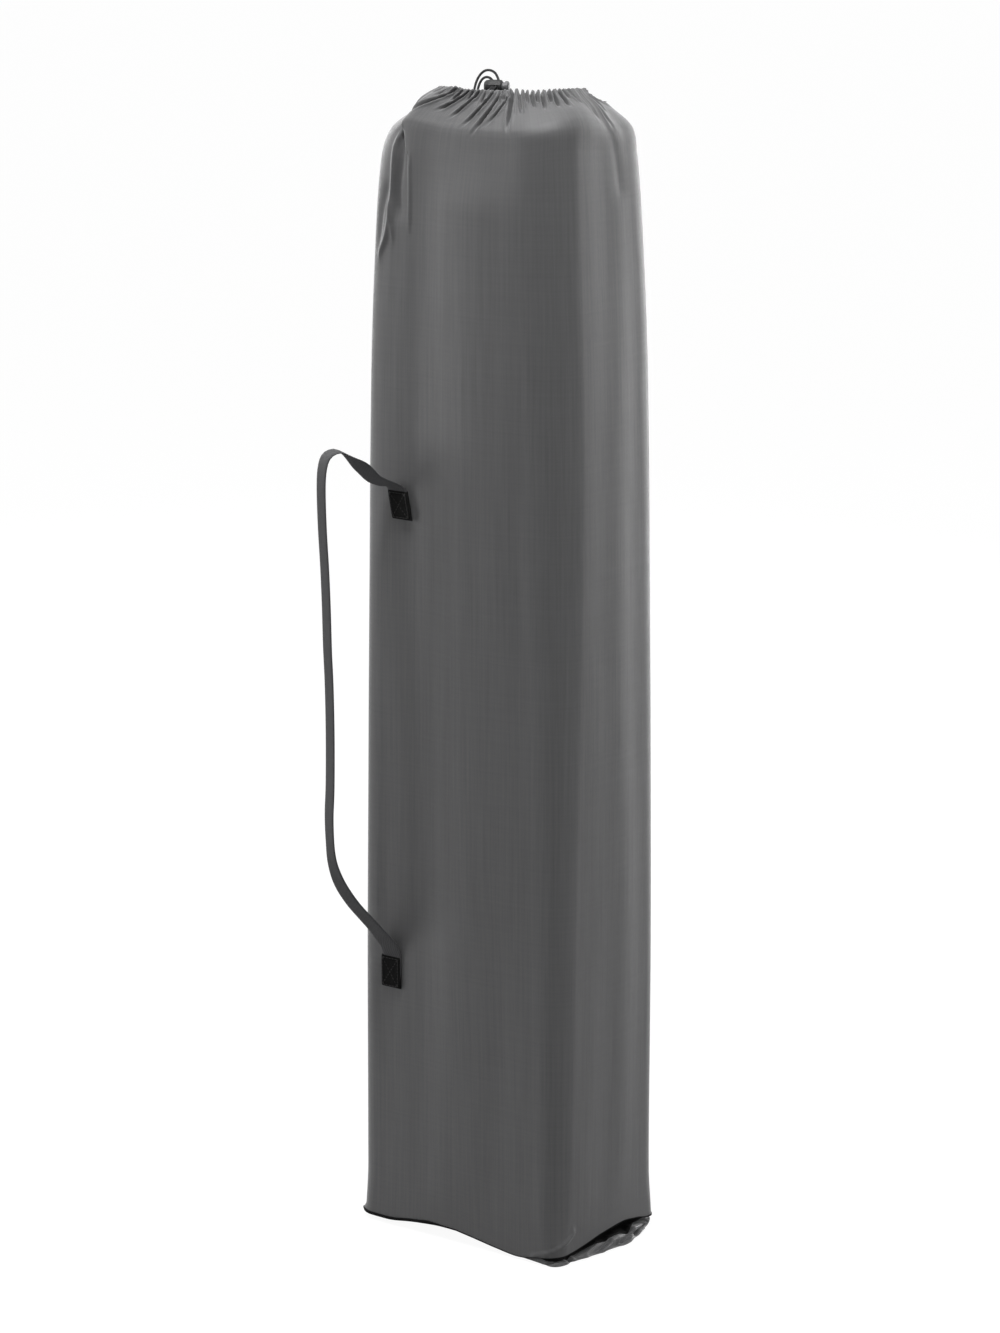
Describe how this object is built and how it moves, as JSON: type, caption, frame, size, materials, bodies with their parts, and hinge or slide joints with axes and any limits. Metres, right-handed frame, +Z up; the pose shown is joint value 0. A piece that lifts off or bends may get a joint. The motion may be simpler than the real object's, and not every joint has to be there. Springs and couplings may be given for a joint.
{
  "type": "packed folding cot in a carry bag",
  "caption": "Folding camping cot stored upright in a drawstring carry bag, with a webbing shoulder strap, a sprung cord lock and the folded tube frame inside.",
  "frame": {"origin": "centre of the bag's flat base, on the floor", "axes": "+Z up along the bag, X across its wide side, Y through its depth, -Y the front that the strap is sewn to"},
  "size_m": [0.217, 0.2229, 1.0033],
  "materials": {
    "bag_cloth": "grey plain-weave polyester with a soft satin sheen",
    "webbing": "dark grey twill webbing",
    "patch": "black reinforcing patch with bar-tack stitching",
    "cord": "black braided polyester cord",
    "black_plastic": "moulded black plastic",
    "grey_plastic": "moulded grey plastic",
    "spring_wire": "drawn spring wire",
    "powder_coat": "dark grey powder-coated steel tube",
    "zinc": "zinc-plated pressed steel",
    "bed_fabric": "dark blue-grey coated polyester bed fabric"
  },
  "bodies": {
    "bag": {"bag_base": "bag_cloth", "bag_body": "bag_cloth", "mouth_collar": "bag_cloth", "drawcord": "cord", "cord_tail_left": "cord", "cord_tail_right": "cord", "cord_knot": "cord", "strap_patch_upper": "patch", "strap_patch_lower": "patch", "strap_end_upper": "webbing", "strap_end_lower": "webbing"},
    "strap": {"carry_strap": "webbing"},
    "lock": {"lock_barrel": "black_plastic", "lock_spring": "spring_wire"},
    "lock_button": {"lock_plunger": "grey_plastic"},
    "cot": {"bed_fabric": "bed_fabric", "cross_rivet_foot": "zinc", "cross_rivet_head": "zinc", "cross_rivet_middle": "zinc", "end_bar_foot": "powder_coat", "end_bar_head": "powder_coat", "fold_channel_front": "zinc", "fold_channel_rear": "zinc", "fold_pin_foot_front": "zinc", "fold_pin_foot_rear": "zinc", "fold_pin_head_front": "zinc", "fold_pin_head_rear": "zinc", "foot_cap_foot_front": "black_plastic", "foot_cap_foot_rear": "black_plastic", "foot_cap_head_front": "black_plastic", "foot_cap_head_rear": "black_plastic", "foot_cap_middle_front": "black_plastic", "foot_cap_middle_rear": "black_plastic", "leg_bracket_foot_front": "zinc", "leg_bracket_foot_rear": "zinc", "leg_bracket_head_front": "zinc", "leg_bracket_head_rear": "zinc", "leg_bracket_middle_front": "zinc", "leg_bracket_middle_rear": "zinc", "leg_foot_front": "powder_coat", "leg_foot_rear": "powder_coat", "leg_head_front": "powder_coat", "leg_head_rear": "powder_coat", "leg_middle_front": "powder_coat", "leg_middle_rear": "powder_coat", "leg_pin_foot_front": "zinc", "leg_pin_foot_rear": "zinc", "leg_pin_head_front": "zinc", "leg_pin_head_rear": "zinc", "leg_pin_middle_front": "zinc", "leg_pin_middle_rear": "zinc", "rail_cap_foot_front": "black_plastic", "rail_cap_foot_rear": "black_plastic", "rail_cap_head_front": "black_plastic", "rail_cap_head_rear": "black_plastic", "rail_foot_front": "powder_coat", "rail_foot_rear": "powder_coat", "rail_head_front": "powder_coat", "rail_head_rear": "powder_coat"}
  },
  "joints": [
    {"name": "cot_pull_out", "type": "slide", "parent": "bag", "child": "cot", "axis": [0, 0, 1], "range_m": [0, 1], "deforming": ["mouth_collar", "drawcord", "cord_tail_left", "cord_tail_right"]},
    {"name": "strap_swing", "type": "hinge", "parent": "bag", "child": "strap", "pos_m": [-0.0639, -0.0756, 0.455], "axis": [0.0301, 0, 0.9995], "range_deg": [-28, 86], "deforming": ["strap_end_upper", "strap_end_lower"]},
    {"name": "cord_lock_slide", "type": "slide", "parent": "bag", "child": "lock", "axis": [-0.454, 0.891, 0], "range_m": [-0.005, 0.01], "deforming": ["cord_tail_left", "cord_tail_right"]},
    {"name": "lock_button_press", "type": "slide", "parent": "lock", "child": "lock_button", "axis": [-0.891, -0.454, 0], "range_m": [0, 0.0024], "stiffness_N_per_m": 900, "springref_m": -0.002, "deforming": ["lock_spring"]}
  ]
}
